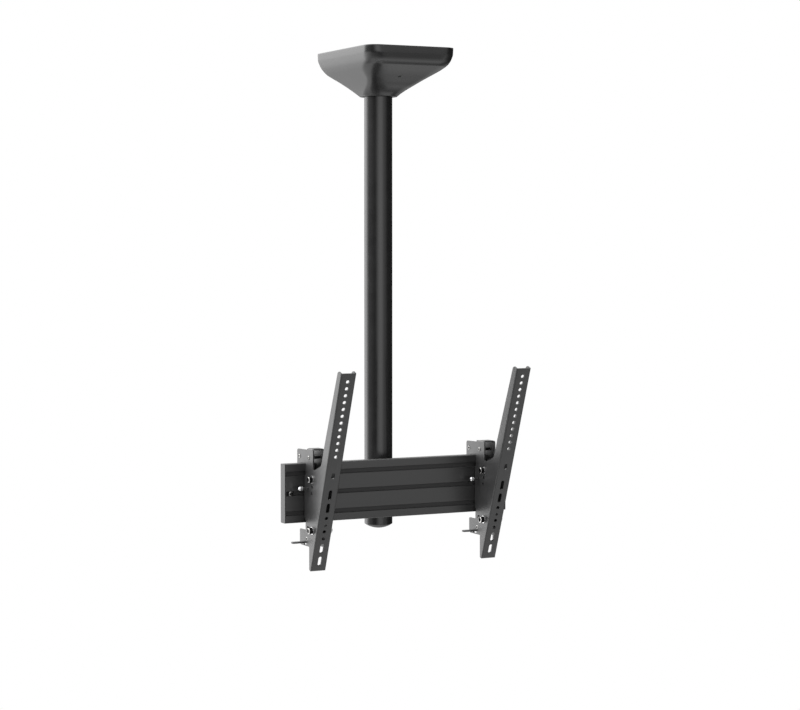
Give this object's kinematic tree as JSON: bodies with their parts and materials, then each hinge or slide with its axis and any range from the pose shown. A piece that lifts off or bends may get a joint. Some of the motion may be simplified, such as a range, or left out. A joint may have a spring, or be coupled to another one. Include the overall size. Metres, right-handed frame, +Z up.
{
  "type": "tv ceiling mount",
  "caption": "Ceiling mount for a flat screen: drop pole under a tapered ceiling cover, with a clamped cross rail and hook-on screen arms that tilt.",
  "frame": {"origin": "centre of the ceiling plate's four fixing holes, on the pole axis at the ceiling", "axes": "+Z up into the ceiling along the pole axis, +X along the cross rail, screen side towards -Y"},
  "size_m": [0.52, 0.3869, 1.0798],
  "materials": {
    "black_powder_coated_steel": "fine textured satin powder coat",
    "black_pole_coating": "smooth satin powder coat",
    "black_arm_coating": "fine textured satin powder coat",
    "black_rail_aluminium": "black anodised, drawn along its length",
    "black_cover_plastic": "satin moulded",
    "black_cap_plastic": "satin moulded",
    "nylon": "natural nylon",
    "zinc_plated_steel": "zinc plated",
    "black_oxide_screws": "black oxide",
    "bright_knob_metal": "bright turned",
    "spring_wire": "drawn wire"
  },
  "bodies": {
    "ceiling_base": {"ceiling_plate": "black_powder_coated_steel", "pole_socket": "black_powder_coated_steel", "socket_collar": "black_powder_coated_steel", "socket_lock_screws": "black_oxide_screws", "socket_gussets": "black_powder_coated_steel", "thrust_washer": "nylon", "ceiling_cover": "black_cover_plastic", "cover_screw": "black_oxide_screws", "cover_bracket": "zinc_plated_steel"},
    "pole_column": {"pole": "black_pole_coating", "pole_top_flange": "black_pole_coating", "pole_end_cap": "black_cap_plastic"},
    "rail_carriage": {"rail": "black_rail_aluminium", "rail_cap_left": "black_cap_plastic", "rail_cap_right": "black_cap_plastic", "rail_stop_screws": "black_oxide_screws", "rail_stop_washers": "black_oxide_screws", "clamp_front": "black_powder_coated_steel", "clamp_rear": "black_powder_coated_steel", "clamp_bolts": "zinc_plated_steel", "clamp_washers": "zinc_plated_steel", "clamp_nuts": "zinc_plated_steel", "rail_bolts": "zinc_plated_steel", "rail_bolt_washers": "zinc_plated_steel", "rail_bolt_nuts": "zinc_plated_steel"},
    "bracket_left": {"hook_bracket_left": "black_powder_coated_steel", "hook_pins_left": "black_oxide_screws", "pivot_bolt_left": "black_oxide_screws", "tilt_bolt_left": "black_oxide_screws", "arm_washers_left": "zinc_plated_steel", "arm_nuts_left": "zinc_plated_steel", "bracket_spacers_left": "black_oxide_screws", "latch_spring_left": "spring_wire"},
    "screen_arm_left": {"arm_left": "black_arm_coating"},
    "lock_knob_left": {"lock_screw_left": "black_oxide_screws", "lock_knob_cap_left": "bright_knob_metal"},
    "latch_slider_left": {"latch_left": "black_powder_coated_steel"},
    "bracket_right": {"hook_bracket_right": "black_powder_coated_steel", "hook_pins_right": "black_oxide_screws", "pivot_bolt_right": "black_oxide_screws", "tilt_bolt_right": "black_oxide_screws", "arm_washers_right": "zinc_plated_steel", "arm_nuts_right": "zinc_plated_steel", "bracket_spacers_right": "black_oxide_screws", "latch_spring_right": "spring_wire"},
    "screen_arm_right": {"arm_right": "black_arm_coating"},
    "lock_knob_right": {"lock_screw_right": "black_oxide_screws", "lock_knob_cap_right": "bright_knob_metal"},
    "latch_slider_right": {"latch_right": "black_powder_coated_steel"}
  },
  "joints": [
    {"name": "pole_swivel", "type": "hinge", "parent": "ceiling_base", "child": "pole_column", "pos_m": [0, 0, -0.052], "axis": [0, 0, 1], "range_deg": [-180, 180]},
    {"name": "height_slide", "type": "slide", "parent": "pole_column", "child": "rail_carriage", "axis": [0, 0, 1], "range_m": [-0.03, 0.5]},
    {"name": "bracket_slide_left", "type": "slide", "parent": "rail_carriage", "child": "bracket_left", "axis": [1, 0, 0], "range_m": [-0.02, 0.15]},
    {"name": "arm_tilt_left", "type": "hinge", "parent": "bracket_left", "child": "screen_arm_left", "pos_m": [-0.2, -0.137, -0.8895], "axis": [1, 0, 0], "range_deg": [-12, 0]},
    {"name": "knob_turn_left", "type": "hinge", "parent": "screen_arm_left", "child": "lock_knob_left", "pos_m": [-0.2285, -0.115, -0.9093], "axis": [1, 0, 0], "range_deg": [-180, 180]},
    {"name": "latch_pull_left", "type": "slide", "parent": "bracket_left", "child": "latch_slider_left", "axis": [0, 0, 1], "range_m": [-0.004, 0], "stiffness_N_per_m": 300, "springref_m": 0.01, "deforming": ["latch_spring_left"]},
    {"name": "bracket_slide_right", "type": "slide", "parent": "rail_carriage", "child": "bracket_right", "axis": [1, 0, 0], "range_m": [-0.15, 0.02]},
    {"name": "arm_tilt_right", "type": "hinge", "parent": "bracket_right", "child": "screen_arm_right", "pos_m": [0.2, -0.137, -0.8895], "axis": [1, 0, 0], "range_deg": [-12, 0]},
    {"name": "knob_turn_right", "type": "hinge", "parent": "screen_arm_right", "child": "lock_knob_right", "pos_m": [0.1715, -0.115, -0.9093], "axis": [1, 0, 0], "range_deg": [-180, 180]},
    {"name": "latch_pull_right", "type": "slide", "parent": "bracket_right", "child": "latch_slider_right", "axis": [0, 0, 1], "range_m": [-0.004, 0], "stiffness_N_per_m": 300, "springref_m": 0.01, "deforming": ["latch_spring_right"]}
  ]
}
